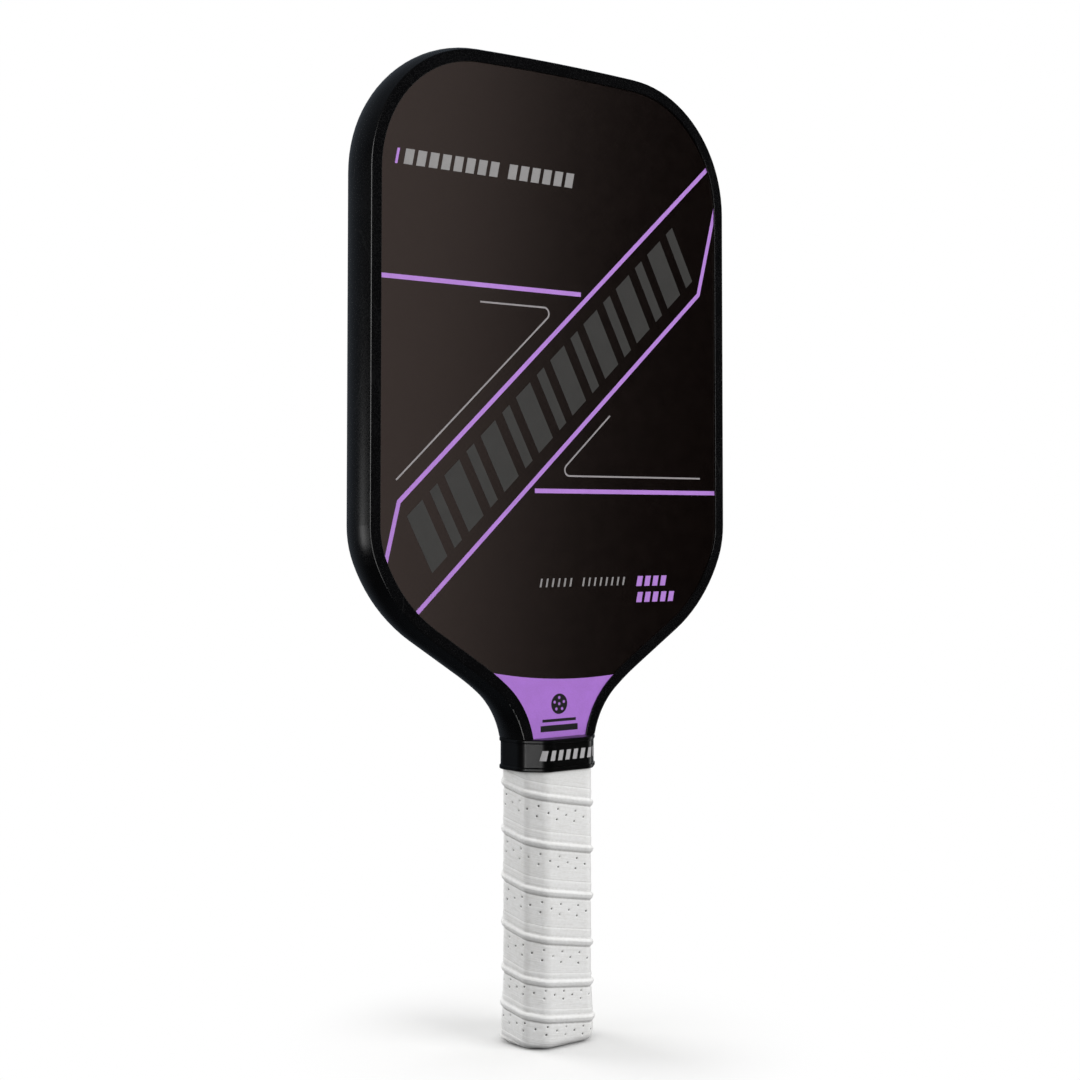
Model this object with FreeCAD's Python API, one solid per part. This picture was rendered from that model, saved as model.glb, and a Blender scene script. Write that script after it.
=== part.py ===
import FreeCAD, Part
import math
import os

# A pickleball paddle standing on its butt, in millimetres.
# +Z runs up the handle, the front face looks along -Y, and the origin is the middle of the butt's underside.

Vector = FreeCAD.Vector
UP = Vector(0, 0, 1)

# Panel: honeycomb core, two glue films and two carbon sheets, with a narrow tang inside the handle
PANEL_THICKNESS = 16.0
SHEET_THICKNESS = 0.5
FILM_THICKNESS = 0.15
TANG_HALF_WIDTH = 13.5
TANG_BOTTOM = 3.2
TANG_CORNER = 1.5
SHOULDER_HEIGHT = 120.0
CELL_SIZE = 8.0
CELL_WALL = 0.35
SMALLEST_CELL = 3.0

# Edge guard: a U channel whose outer wall bulges between two flat lips
CREASE_TOP = 411.7
NECK_HALF_WIDTH = 18.2
LIP_THICKNESS = 0.8
LIP_WIDTH = 4.7
LIP_EDGE_RADIUS = 0.25
WALL_THICKNESS = 1.4
WALL_BULGE = 2.0
CREASE_RADIUS = 0.8
GLUE_THICKNESS = 0.2
GUARD_BOTTOM = 120.5

# The guard's crease from the crown down to the neck, as (radius, turn in degrees) or (length, 0)
CROWN_TO_THROAT = [(1444.0, -1.66), (53.7, -88.05), (139.8, 0), (38.8, -22.75), (67.1, -34.8)]
THROAT_TO_NECK = [(111.0, 7.33), (35.0, 49.93)]

# Handle: an octagon, given by the outside of the wrap and stepped inwards for each layer under it
GRIP_WIDTH = 35.0
GRIP_DEPTH = 28.5
GRIP_CHAMFER = 6.3
GRIP_CORNER = 5.0
WRAP_TOP = 118.5
WRAP_BOTTOM = 0.3
WRAP_EDGE_RADIUS = 3.6
FLARE = 0.8
FLARE_BOTTOM = 8.0
FLARE_TOP = 28.0
SHELL_STEP = -2.0
SHELL_TOP = 119.8
SHELL_NOSE_TOP = 126.8
TAPE_THICKNESS = 0.12
TAPE_BOTTOM = 20.5
FINISH_TAPE_BOTTOM = 116.0
FINISH_TAPE_TOP = 119.5
FINISH_TAPE_THICKNESS = 0.2

# Butt cap, its staples and its badge
CAP_FLOOR = 3.0
CAP_TOP = 20.0
CAP_WALL = 1.2
CAP_EDGE_RADIUS = 3.2
BADGE_RADIUS = 8.5
BADGE_THICKNESS = 0.8
STAPLE_HEIGHT = 14.0
STAPLE_CROWN = 9.0
STAPLE_WIRE = 0.6
STAPLE_OUTSIDE = 12.5
STAPLE_TIP = 8.6

# Rubber collar over the top of the wrap and the ends of the guard
COLLAR_BOTTOM = 115.5
COLLAR_TOP = 129.0
COLLAR_WIDTH = 39.8
COLLAR_DEPTH = 30.6
COLLAR_CHAMFER = 8.2
COLLAR_CORNER = 6.0
BORE_WIDTH = 37.4
BORE_DEPTH = 28.9
BORE_CHAMFER = 7.2
BORE_CORNER = 3.7
COLLAR_FLANGE = 2.2
BEAD_HEIGHT = 1.9
BEAD_PROUD = 0.5
BEAD_RADIUS = 0.6

# Printed layers on the faces
INK_THICKNESS = 0.04
STRIPE_WIDTH = 1.9
STRIPE_SLOPE = math.radians(42.2)
STRIPE_KINK = Vector(79.8, 0, 321.0)
STRIPE_LENGTH = 240.0
STRIPE_END_SLOPE = math.radians(75.5)
STRIPE_END_LENGTH = 60.0
LEVEL_STRIPE_START = Vector(100, 0, 232.3)
LEVEL_STRIPE_LENGTH = 113.0
FINE_LINE_WIDTH = 0.7
FINE_BEND_RADIUS = 2.5
LOWER_FINE_LINE = (Vector(28.0, 0, 265.0), 32.6, 75.4)
UPPER_FINE_LINE = (Vector(-82.3, 0, 235.8), 102.5, 33.2)
BLOCK_PAIRS = 8
BLOCK_PITCH = 24.4
BLOCK_HEIGHT = 25.0
BROAD_BLOCK = 10.0
NARROW_BLOCK = 5.0
NARROW_BLOCK_PLACE = 14.8
BLOCK_SHIFT = 2.4
BLOCK_LEAN = math.radians(14)
DASH_LEAN = math.radians(12)
# Rows of dashes: left end, foot, count, width, pitch and height.
VIOLET_DASHES = [(-82.9, 360.4, 1, 1.2, 4.0, 6.2),
                 (43.0, 191.4, 4, 3.0, 4.6, 4.4), (43.0, 184.4, 5, 3.0, 4.6, 4.4)]
GREY_DASHES = [(-78.8, 360.6, 8, 4.2, 6.0, 6.2), (-27.3, 360.6, 6, 4.2, 6.0, 6.2),
               (-10.5, 192.0, 6, 0.9, 3.2, 3.6), (12.5, 192.0, 8, 0.9, 3.2, 3.6)]
COLLAR_DASHES = (-14.3, 120.2, 8, 2.2, 3.9, 4.2)
THROAT_SAG_RADIUS = 250.0
THROAT_SAG_FOOT = Vector(12, 0, 153.0)
THROAT_ROOM = 100.0
BALL_CENTRE = Vector(0, 0, 142.8)
BALL_RADIUS = 4.3
BALL_HOLE_RADIUS = 0.65
BALL_HOLE_CIRCLE = 2.6
BALL_HOLES = 5
# Bars of the emblem: half length, foot and height.
EMBLEM_BARS = [(9.0, 135.4, 1.2), (10.0, 131.4, 2.6)]
GRAPHIC_CENTRE = Vector(-0.6, 0, 274.1)
FILM_BOTTOM = 121.0

PANEL_HALF = PANEL_THICKNESS / 2
GUARD_HALF = PANEL_HALF + LIP_THICKNESS
EDGE_INSET = WALL_THICKNESS + GLUE_THICKNESS
CORE_HALF = PANEL_HALF - SHEET_THICKNESS - FILM_THICKNESS
OCTAGON_STEP = 2 - math.sqrt(2)
HALF_CORNER = math.radians(22.5)
ACROSS_FACE = Vector(0, 1, 0)


# ---------- lines and arcs in the plane of the face ----------

def along(heading):
    return Vector(math.cos(heading), 0, math.sin(heading))


def left_of(heading):
    return Vector(-math.sin(heading), 0, math.cos(heading))


def trace(start, heading, steps, shift=0.0):
    """Edges of tangent lines and arcs, moved shift to the left of their run, with the end and heading."""
    point = start + left_of(heading) * shift
    edges = []
    for size, turn in steps:
        if turn == 0:
            end = point + along(heading) * size
            edges.append(Part.LineSegment(point, end).toShape())
        else:
            side = math.copysign(1, turn)
            reach = side * size - shift
            centre = point + left_of(heading) * reach
            halfway = heading + math.radians(turn) / 2
            heading += math.radians(turn)
            end = centre - left_of(heading) * reach
            edges.append(Part.Arc(point, centre - left_of(halfway) * reach, end).toShape())
        point = end
    return edges, point, heading


def both_halves(edges):
    mirrored = [edge.mirror(Vector(0, 0, 0), Vector(1, 0, 0)) for edge in edges]
    return Part.Wire(Part.sortEdges(edges + mirrored)[0])


def crease_half(inset, bottom):
    """The right half of the crease, moved inwards, with a straight neck that ends at the height bottom."""
    crown = Vector(0, 0, CREASE_TOP)
    _, shoulder, slant = trace(crown, 0, CROWN_TO_THROAT)
    _, throat, _ = trace(Vector(0, 0, 0), slant, THROAT_TO_NECK)
    straight = (NECK_HALF_WIDTH - shoulder.x - throat.x) / math.cos(slant)
    steps = CROWN_TO_THROAT + [(straight, 0)] + THROAT_TO_NECK
    _, neck, _ = trace(crown, 0, steps)
    return trace(crown, 0, steps + [(neck.z - bottom, 0)], -inset)


def panel_outline(trim=0.0):
    """The panel with its tang, closed, moved inwards by trim."""
    shoulder = SHOULDER_HEIGHT + trim
    edges, corner, down = crease_half(EDGE_INSET + trim, shoulder + TANG_CORNER)
    tang = TANG_HALF_WIDTH - trim
    bottom = TANG_BOTTOM + trim
    ledge = corner.x - tang - 2 * TANG_CORNER
    steps = [(TANG_CORNER, -90), (ledge, 0), (TANG_CORNER, 90)]
    steps += [(shoulder - bottom - 2 * TANG_CORNER, 0), (TANG_CORNER, -90), (tang - TANG_CORNER, 0)]
    lower, _, _ = trace(corner, down, steps)
    return both_halves(edges + lower)


def window_face():
    """The part of a face that the guard's lips leave open."""
    edges, corner, _ = crease_half(LIP_WIDTH, FILM_BOTTOM)
    edges.append(Part.LineSegment(corner, Vector(0, 0, corner.z)).toShape())
    return Part.Face(both_halves(edges))


def slab(face, low, high):
    """A face in the XZ plane, given thickness from y = low to y = high."""
    moved = face.copy()
    moved.translate(Vector(0, low, 0))
    return moved.extrude(Vector(0, high - low, 0))


# ---------- panel ----------

def hexagon(centre):
    radius = CELL_SIZE / math.sqrt(3)
    corners = [centre + along(math.radians(60 * k + 30)) * radius for k in range(6)]
    return Part.Wire(Part.makePolygon(corners + corners[:1]))


def cell_wires(limit):
    """Hexagonal cells over the whole panel, whole ones inside and clipped ones along its edge, as holes."""
    pitch = CELL_SIZE + CELL_WALL
    row_step = pitch * math.sqrt(3) / 2
    box = limit.BoundBox
    rows = int((box.ZMax - box.ZMin) / row_step) + 2
    columns = int(box.XMax / pitch) + 2
    wires = []
    for row in range(rows):
        for column in range(-columns, columns):
            across = (column + 0.5 * (row % 2)) * pitch
            cell = hexagon(Vector(across, 0, box.ZMin + row * row_step))
            inside = [limit.isInside(vertex.Point, 0.001, True) for vertex in cell.Vertexes]
            if all(inside):
                wires.append(cell)
            elif any(inside):
                pieces = limit.common(Part.Face(cell)).Faces
                wires += [piece.OuterWire.reversed() for piece in pieces if piece.Area > SMALLEST_CELL]
    return wires


def honeycomb_core():
    limit = Part.Face(panel_outline(CELL_WALL))
    face = Part.Face([panel_outline()] + cell_wires(limit))
    return slab(face, -CORE_HALF, CORE_HALF)


def panel_layer(inner, thickness, side):
    """A sheet over the whole panel, from inner outwards; side is -1 for the front and 1 for the back."""
    near, far = sorted((side * inner, side * (inner + thickness)))
    return slab(Part.Face(panel_outline()), near, far)


# ---------- edge guard ----------

def section_point(outwards, across):
    return Vector(-NECK_HALF_WIDTH - outwards, across, GUARD_BOTTOM)


def section_line(first, second):
    return Part.LineSegment(section_point(*first), section_point(*second)).toShape()


def section_arc(first, middle, second):
    return Part.Arc(section_point(*first), section_point(*middle), section_point(*second)).toShape()


def guard_section():
    """The channel's closed section at the foot of the left side, as (outwards, across) from the crease."""
    bulge_radius = (GUARD_HALF ** 2 + WALL_BULGE ** 2) / (2 * WALL_BULGE)
    bulge_centre = WALL_BULGE - bulge_radius
    fillet_across = GUARD_HALF - CREASE_RADIUS
    fillet_arm = bulge_radius - CREASE_RADIUS
    fillet_reach = math.sqrt(fillet_arm ** 2 - fillet_across ** 2)
    fillet_centre = bulge_centre + fillet_reach
    blend = math.atan2(fillet_across, fillet_reach)
    halfway = (blend + math.pi / 2) / 2
    meet = (bulge_centre + bulge_radius * math.cos(blend), bulge_radius * math.sin(blend))
    shoulder = (fillet_centre + CREASE_RADIUS * math.cos(halfway),
                fillet_across + CREASE_RADIUS * math.sin(halfway))
    lip_end = LIP_EDGE_RADIUS - LIP_WIDTH
    diagonal = LIP_EDGE_RADIUS * math.sqrt(0.5)
    edges = [section_arc((meet[0], -meet[1]), (WALL_BULGE, 0), meet)]
    for side in (-1, 1):
        edges.append(section_arc((meet[0], side * meet[1]), (shoulder[0], side * shoulder[1]),
                                 (fillet_centre, side * GUARD_HALF)))
        edges.append(section_line((fillet_centre, side * GUARD_HALF), (lip_end, side * GUARD_HALF)))
        edges.append(section_arc((lip_end, side * GUARD_HALF),
                                 (lip_end - diagonal, side * (GUARD_HALF - LIP_EDGE_RADIUS + diagonal)),
                                 (-LIP_WIDTH, side * (GUARD_HALF - LIP_EDGE_RADIUS))))
        edges.append(section_line((-LIP_WIDTH, side * (GUARD_HALF - LIP_EDGE_RADIUS)),
                                  (-LIP_WIDTH, side * PANEL_HALF)))
        edges.append(section_line((-LIP_WIDTH, side * PANEL_HALF), (-WALL_THICKNESS, side * PANEL_HALF)))
    edges.append(section_line((-WALL_THICKNESS, -PANEL_HALF), (-WALL_THICKNESS, PANEL_HALF)))
    return Part.Wire(Part.sortEdges(edges)[0])


def glue_section():
    corners = [(-WALL_THICKNESS, -PANEL_HALF), (-WALL_THICKNESS, PANEL_HALF),
               (-EDGE_INSET, PANEL_HALF), (-EDGE_INSET, -PANEL_HALF)]
    points = [section_point(*corner) for corner in corners]
    return Part.makePolygon(points + points[:1])


def around_the_edge(section):
    """A section carried along the whole crease, from the left end of the guard to its right end."""
    crease, _, _ = crease_half(0.0, GUARD_BOTTOM)
    return both_halves(crease).makePipeShell([section], True, False)


def edge_guard():
    """The guard, pared down at its two ends to go inside the collar."""
    outside_bore = block(BORE_WIDTH, BORE_DEPTH, 0, COLLAR_TOP).cut(prism(bore_octagon(), 0, COLLAR_TOP))
    return around_the_edge(guard_section()).cut(outside_bore)


# ---------- handle ----------

def octagon(width, depth, chamfer, corner):
    """A wire in the XY plane: a rectangle with cut corners, all its edges blended by the corner radius."""
    x = width / 2
    y = depth / 2
    points = []
    for side_x, side_y in ((1, 1), (-1, 1), (-1, -1), (1, -1)):
        pair = [Vector(side_x * x, side_y * (y - chamfer), 0), Vector(side_x * (x - chamfer), side_y * y, 0)]
        points += pair if side_x * side_y > 0 else pair[::-1]
    edges = []
    setback = corner * math.tan(HALF_CORNER)
    starts = []
    for k, point in enumerate(points):
        before = (points[k - 1] - point).normalize()
        after = (points[(k + 1) % len(points)] - point).normalize()
        inward = (before + after).normalize()
        first = point + before * setback
        second = point + after * setback
        middle = point + inward * (corner / math.cos(HALF_CORNER) - corner)
        edges.append(Part.Arc(first, middle, second).toShape())
        starts.append((first, second))
    for k, (_, leaving) in enumerate(starts):
        edges.append(Part.LineSegment(leaving, starts[(k + 1) % len(starts)][0]).toShape())
    return Part.Wire(Part.sortEdges(edges)[0])


def grip_octagon(step):
    """The handle's octagon, step outside the wrap's surface, or inside it where step is negative."""
    return octagon(GRIP_WIDTH + 2 * step, GRIP_DEPTH + 2 * step,
                   GRIP_CHAMFER + OCTAGON_STEP * step, GRIP_CORNER + step)


def bore_octagon():
    return octagon(BORE_WIDTH, BORE_DEPTH, BORE_CHAMFER, BORE_CORNER)


def prism(wire, bottom, top):
    face = Part.Face(wire)
    face.translate(UP * bottom)
    return face.extrude(UP * (top - bottom))


def block(half_x, half_y, bottom, top):
    return Part.makeBox(2 * half_x, 2 * half_y, top - bottom, Vector(-half_x, -half_y, bottom))


def flared(step, bottom, top, flare_top):
    """A handle body that widens by FLARE between flare_top and FLARE_BOTTOM."""
    wide = grip_octagon(step + FLARE)
    narrow = grip_octagon(step)
    wide.translate(UP * FLARE_BOTTOM)
    narrow.translate(UP * flare_top)
    taper = Part.makeLoft([wide, narrow], True, True)
    body = prism(grip_octagon(step + FLARE), bottom, FLARE_BOTTOM).fuse(taper)
    if top > flare_top:
        body = body.fuse(prism(grip_octagon(step), flare_top, top))
    return body


def round_foot(body, height, radius):
    """Rounds the edges that lie at the given height."""
    edges = [edge for edge in body.Edges
             if abs(edge.BoundBox.ZMin - height) < 0.001 and abs(edge.BoundBox.ZMax - height) < 0.001]
    return body.makeFillet(radius, edges)


def handle_shell(side):
    """Half of the handle, side -1 for the front and 1 for the back, with the tang's slot inside it."""
    rebate = prism(grip_octagon(SHELL_STEP - CAP_WALL), CAP_FLOOR, CAP_TOP)
    body = rebate.fuse(prism(grip_octagon(SHELL_STEP), CAP_TOP, SHELL_NOSE_TOP))
    body = body.cut(block(TANG_HALF_WIDTH, PANEL_HALF, 0, SHELL_NOSE_TOP))
    body = body.cut(block(GRIP_WIDTH, GUARD_HALF, SHELL_TOP, SHELL_NOSE_TOP))
    half = Part.makeBox(2 * GRIP_WIDTH, GRIP_DEPTH, SHELL_NOSE_TOP, Vector(-GRIP_WIDTH, 0, 0))
    if side < 0:
        half.translate(Vector(0, -GRIP_DEPTH, 0))
    return body.common(half).cut(butt_cap_staples())


def butt_cap():
    outside = round_foot(flared(SHELL_STEP, 0, CAP_TOP, CAP_TOP), 0, CAP_EDGE_RADIUS)
    inside = prism(grip_octagon(SHELL_STEP - CAP_WALL), CAP_FLOOR, CAP_TOP)
    cap = outside.cut(inside).cut(butt_badge())
    return cap.cut(Part.makeCompound([staple_groove(-1), staple_groove(1)]))


def staple(side):
    """One U of flat wire through the cap's wall into a handle shell."""
    half = STAPLE_CROWN / 2
    outer = Part.makeBox(2 * half, STAPLE_OUTSIDE - STAPLE_TIP, STAPLE_WIRE,
                         Vector(-half, STAPLE_TIP, STAPLE_HEIGHT))
    inner = Part.makeBox(2 * (half - STAPLE_WIRE), STAPLE_OUTSIDE - STAPLE_WIRE - STAPLE_TIP, STAPLE_WIRE,
                         Vector(STAPLE_WIRE - half, STAPLE_TIP, STAPLE_HEIGHT))
    return facing(outer.cut(inner), side)


def staple_groove(side):
    """The room for a staple in the cap's wall, open to the outside."""
    half = STAPLE_CROWN / 2
    crown = Part.makeBox(2 * half, CAP_WALL, STAPLE_WIRE,
                         Vector(-half, STAPLE_OUTSIDE - STAPLE_WIRE, STAPLE_HEIGHT))
    return facing(crown, side).fuse(staple(side))


def facing(shape, side):
    """Turns a shape made for the back to the front where side is -1."""
    if side > 0:
        return shape
    return shape.rotated(Vector(0, 0, 0), UP, 180)


def butt_cap_staples():
    return Part.makeCompound([staple(-1), staple(1)])


def butt_badge():
    return Part.makeCylinder(BADGE_RADIUS, BADGE_THICKNESS)


def grip_adhesive_tape():
    outside = prism(grip_octagon(SHELL_STEP + TAPE_THICKNESS), TAPE_BOTTOM, WRAP_TOP)
    return outside.cut(prism(grip_octagon(SHELL_STEP), TAPE_BOTTOM, WRAP_TOP))


def grip_wrap():
    outside = round_foot(flared(0, WRAP_BOTTOM, WRAP_TOP, FLARE_TOP), WRAP_BOTTOM, WRAP_EDGE_RADIUS)
    cap_room = round_foot(flared(SHELL_STEP, 0, TAPE_BOTTOM, CAP_TOP), 0, CAP_EDGE_RADIUS)
    core_room = prism(grip_octagon(SHELL_STEP + TAPE_THICKNESS), TAPE_BOTTOM, WRAP_TOP)
    return outside.cut(cap_room).cut(core_room)


def grip_finish_tape():
    outside = prism(grip_octagon(FINISH_TAPE_THICKNESS), FINISH_TAPE_BOTTOM, FINISH_TAPE_TOP)
    return outside.cut(prism(grip_octagon(0), FINISH_TAPE_BOTTOM, FINISH_TAPE_TOP))


# ---------- collar ----------

def collar_octagon(step):
    return octagon(COLLAR_WIDTH + 2 * step, COLLAR_DEPTH + 2 * step,
                   COLLAR_CHAMFER + OCTAGON_STEP * step, COLLAR_CORNER + step)


def collar_bead(bottom):
    bead = prism(collar_octagon(BEAD_PROUD), bottom, bottom + BEAD_HEIGHT)
    level = round_foot(bead, bottom, BEAD_RADIUS)
    return round_foot(level, bottom + BEAD_HEIGHT, BEAD_RADIUS)


def grip_collar():
    """A band with a bead round each edge and a flange on top that closes in on the panel."""
    band = prism(collar_octagon(0), COLLAR_BOTTOM + BEAD_HEIGHT / 2, COLLAR_TOP - BEAD_HEIGHT / 2)
    band = band.fuse([collar_bead(COLLAR_BOTTOM), collar_bead(COLLAR_TOP - BEAD_HEIGHT)])
    flange_bottom = COLLAR_TOP - COLLAR_FLANGE
    band = band.cut(prism(bore_octagon(), COLLAR_BOTTOM, flange_bottom))
    neck = prism(bore_octagon(), flange_bottom, COLLAR_TOP)
    return band.cut(neck.common(block(BORE_WIDTH, GUARD_HALF, flange_bottom, COLLAR_TOP)))


def collar_marks():
    """A row of slanted dashes printed on the front of the collar."""
    skin = prism(collar_octagon(INK_THICKNESS), COLLAR_BOTTOM, COLLAR_TOP)
    skin = skin.cut(prism(collar_octagon(0), COLLAR_BOTTOM, COLLAR_TOP))
    dashes = [slab(dash, -COLLAR_DEPTH, 0) for dash in dash_row(*COLLAR_DASHES)]
    return skin.common(Part.makeCompound(dashes))


# ---------- printed layers ----------

def ribbon(start, heading, steps, width):
    """A flat line of one width that follows lines and arcs."""
    left, left_end, _ = trace(start, heading, steps, width / 2)
    right, right_end, _ = trace(start, heading, steps, -width / 2)
    turned = left_of(heading) * (width / 2)
    ends = [Part.LineSegment(start + turned, start - turned).toShape(),
            Part.LineSegment(left_end, right_end).toShape()]
    return Part.Face(Part.Wire(Part.sortEdges(left + right + ends)[0]))


def quadrilateral(origin, right, up):
    corners = [origin, origin + right, origin + right + up, origin + up]
    return Part.Face(Part.makePolygon(corners + corners[:1]))


def dash_row(left, foot, count, width, pitch, height):
    """Slanted dashes that lean to the right, as faces."""
    lean = Vector(math.tan(DASH_LEAN) * height, 0, height)
    across = Vector(width, 0, 0)
    return [quadrilateral(Vector(left + k * pitch, 0, foot), across, lean) for k in range(count)]


def disc(centre, radius):
    return Part.Face(Part.Wire(Part.makeCircle(radius, centre, ACROSS_FACE)))


def half_turn(face):
    """The same face turned half round the middle of the graphic."""
    return face.rotated(GRAPHIC_CENTRE, ACROSS_FACE, 180)


def laid(faces, lift, side):
    """Faces as ink on the panel's front (side -1) or, turned round, on its back (side 1)."""
    solids = [solid for face in faces for solid in slab(face, -lift - INK_THICKNESS, -lift).Solids]
    return facing(Part.makeCompound(solids), -side)


def printed(faces, side):
    """Faces cut to the window between the lips and laid on the panel."""
    window = window_face()
    return laid([window.common(face) for face in faces], PANEL_HALF, side)


def violet_stripes():
    """Two full-length diagonal stripes with kinked ends, two level bars and the short violet dashes."""
    end = ribbon(STRIPE_KINK, STRIPE_END_SLOPE, [(STRIPE_END_LENGTH, 0)], STRIPE_WIDTH)
    diagonal = ribbon(STRIPE_KINK, STRIPE_SLOPE + math.pi, [(STRIPE_LENGTH, 0)], STRIPE_WIDTH)
    stripe = diagonal.fuse([end, disc(STRIPE_KINK, STRIPE_WIDTH / 2)]).removeSplitter()
    level = ribbon(LEVEL_STRIPE_START, math.pi, [(LEVEL_STRIPE_LENGTH, 0)], STRIPE_WIDTH)
    dashes = [dash for row in VIOLET_DASHES for dash in dash_row(*row)]
    return [stripe, half_turn(stripe), level, half_turn(level)] + dashes


def fine_lines():
    """Two thin bent lines that echo the stripes."""
    turn = 180 - math.degrees(STRIPE_SLOPE)
    lines = []
    for heading, (start, slanted, level) in ((STRIPE_SLOPE + math.pi, LOWER_FINE_LINE),
                                             (STRIPE_SLOPE, UPPER_FINE_LINE)):
        steps = [(slanted, 0), (FINE_BEND_RADIUS, turn), (level, 0)]
        lines.append(ribbon(start, heading, steps, FINE_LINE_WIDTH))
    return lines


def slanted_blocks():
    """Broad and narrow bars by turns, along the diagonal band between the stripes."""
    run = along(STRIPE_SLOPE)
    lean = left_of(STRIPE_SLOPE) * BLOCK_HEIGHT + run * (BLOCK_HEIGHT * math.tan(BLOCK_LEAN))
    first = GRAPHIC_CENTRE + run * (BLOCK_SHIFT - BLOCK_PITCH * BLOCK_PAIRS / 2) - lean / 2
    blocks = []
    for k in range(BLOCK_PAIRS):
        corner = first + run * (BLOCK_PITCH * k)
        blocks.append(quadrilateral(corner, run * BROAD_BLOCK, lean))
        blocks.append(quadrilateral(corner + run * NARROW_BLOCK_PLACE, run * NARROW_BLOCK, lean))
    return blocks


def dash_rows():
    """The bold row near the top and the fine row near the bottom of the face."""
    return [dash for row in GREY_DASHES for dash in dash_row(*row)]


def throat_shape():
    """The throat below a gently sagging line."""
    above = disc(THROAT_SAG_FOOT + UP * THROAT_SAG_RADIUS, THROAT_SAG_RADIUS)
    corner = Vector(-THROAT_ROOM, 0, FILM_BOTTOM)
    low = quadrilateral(corner, Vector(2 * THROAT_ROOM, 0, 0), UP * (GRAPHIC_CENTRE.z - FILM_BOTTOM))
    return low.cut(above)


def throat_emblem():
    """A plain ball with holes over two bars."""
    turns = [math.radians(90 + 360 * k / BALL_HOLES) for k in range(BALL_HOLES)]
    spots = [BALL_CENTRE] + [BALL_CENTRE + along(turn) * BALL_HOLE_CIRCLE for turn in turns]
    ball = disc(BALL_CENTRE, BALL_RADIUS).cut([disc(spot, BALL_HOLE_RADIUS) for spot in spots])
    bars = [quadrilateral(Vector(-half, 0, foot), Vector(2 * half, 0, 0), UP * height)
            for half, foot, height in EMBLEM_BARS]
    return [ball] + bars


def emblem_layer(side):
    """The emblem printed over the violet of the throat."""
    return laid(throat_emblem(), PANEL_HALF + INK_THICKNESS, side)


# ---------- all nodes ----------

def build():
    nodes = {"honeycomb_core": honeycomb_core()}
    for name, side in (("front", -1), ("back", 1)):
        nodes[name + "_glue_film"] = panel_layer(CORE_HALF, FILM_THICKNESS, side)
        nodes[name + "_face_sheet"] = panel_layer(CORE_HALF + FILM_THICKNESS, SHEET_THICKNESS, side)
        nodes[name + "_handle_shell"] = handle_shell(side)
        nodes[name + "_violet_stripes"] = printed(violet_stripes(), side)
        nodes[name + "_fine_lines"] = printed(fine_lines(), side)
        nodes[name + "_slanted_blocks"] = printed(slanted_blocks(), side)
        nodes[name + "_dash_rows"] = printed(dash_rows(), side)
        nodes[name + "_throat_film"] = printed([throat_shape()], side)
        nodes[name + "_throat_emblem"] = emblem_layer(side)
    nodes["edge_guard"] = edge_guard()
    nodes["edge_guard_glue"] = around_the_edge(glue_section())
    nodes["butt_cap"] = butt_cap()
    nodes["butt_cap_staples"] = butt_cap_staples()
    nodes["butt_badge"] = butt_badge()
    nodes["grip_adhesive_tape"] = grip_adhesive_tape()
    nodes["grip_wrap"] = grip_wrap()
    nodes["grip_finish_tape"] = grip_finish_tape()
    nodes["grip_collar"] = grip_collar()
    nodes["collar_marks"] = collar_marks()
    return nodes


os.makedirs("parts", exist_ok=True)
for node, shape in build().items():
    print(node, "valid" if shape.isValid() else "NOT VALID", len(shape.Solids), round(shape.Volume, 1))
    shape.exportStep("parts/" + node + ".step")
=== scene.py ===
"""Finishes, wound grip and studio stage of a pickleball paddle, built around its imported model."""

import math

import bpy
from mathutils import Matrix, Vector


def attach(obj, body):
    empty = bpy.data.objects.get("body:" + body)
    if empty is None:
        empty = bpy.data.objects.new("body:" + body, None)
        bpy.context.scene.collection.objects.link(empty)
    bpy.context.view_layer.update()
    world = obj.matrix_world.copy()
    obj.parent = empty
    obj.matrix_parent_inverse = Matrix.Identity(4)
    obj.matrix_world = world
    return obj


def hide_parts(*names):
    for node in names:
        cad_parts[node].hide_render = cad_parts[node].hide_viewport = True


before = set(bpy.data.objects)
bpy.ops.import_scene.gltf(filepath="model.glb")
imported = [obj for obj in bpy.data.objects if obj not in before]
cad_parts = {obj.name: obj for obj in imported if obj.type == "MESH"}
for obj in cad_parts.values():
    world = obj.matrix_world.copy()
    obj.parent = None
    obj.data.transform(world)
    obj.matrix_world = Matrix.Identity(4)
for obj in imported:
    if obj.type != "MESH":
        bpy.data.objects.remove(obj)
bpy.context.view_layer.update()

bl_info = {
    "name": "Pickleball Paddle",
    "version": (1, 0, 0),
    "blender": (4, 5, 0),
    "location": "View3D > Sidebar > Paddle",
    "description": "Dresses a pickleball paddle, winds its grip and sets up a studio stage",
    "category": "Add Mesh",
}

MM = 0.001

GRIP_WIDTH = 35.0
GRIP_DEPTH = 28.5
GRIP_CHAMFER = 6.3
GRIP_CORNER = 5.0
WRAP_TOP = 118.5
WRAP_BOTTOM = 0.3
WRAP_EDGE_RADIUS = 3.6
FLARE = 0.8
FLARE_BOTTOM = 8.0
FLARE_TOP = 28.0
SHELL_STEP = -2.0
TAPE_THICKNESS = 0.12
TAPE_BOTTOM = 20.5
CAP_TOP = 20.0
CAP_EDGE_RADIUS = 3.2
INNER_GAP = 0.02
RELIEF_TOP = 116.0
CAP_ARC_HEIGHTS = (WRAP_BOTTOM, 0.6, 1.0, 1.5, 2.1, CAP_EDGE_RADIUS)
BORE_MIDDLE = 60.0
WRAP_COLUMNS = 288
WRAP_ROWS = 284
ARC_ROWS = 9


# ---------- node helpers ----------

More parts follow.
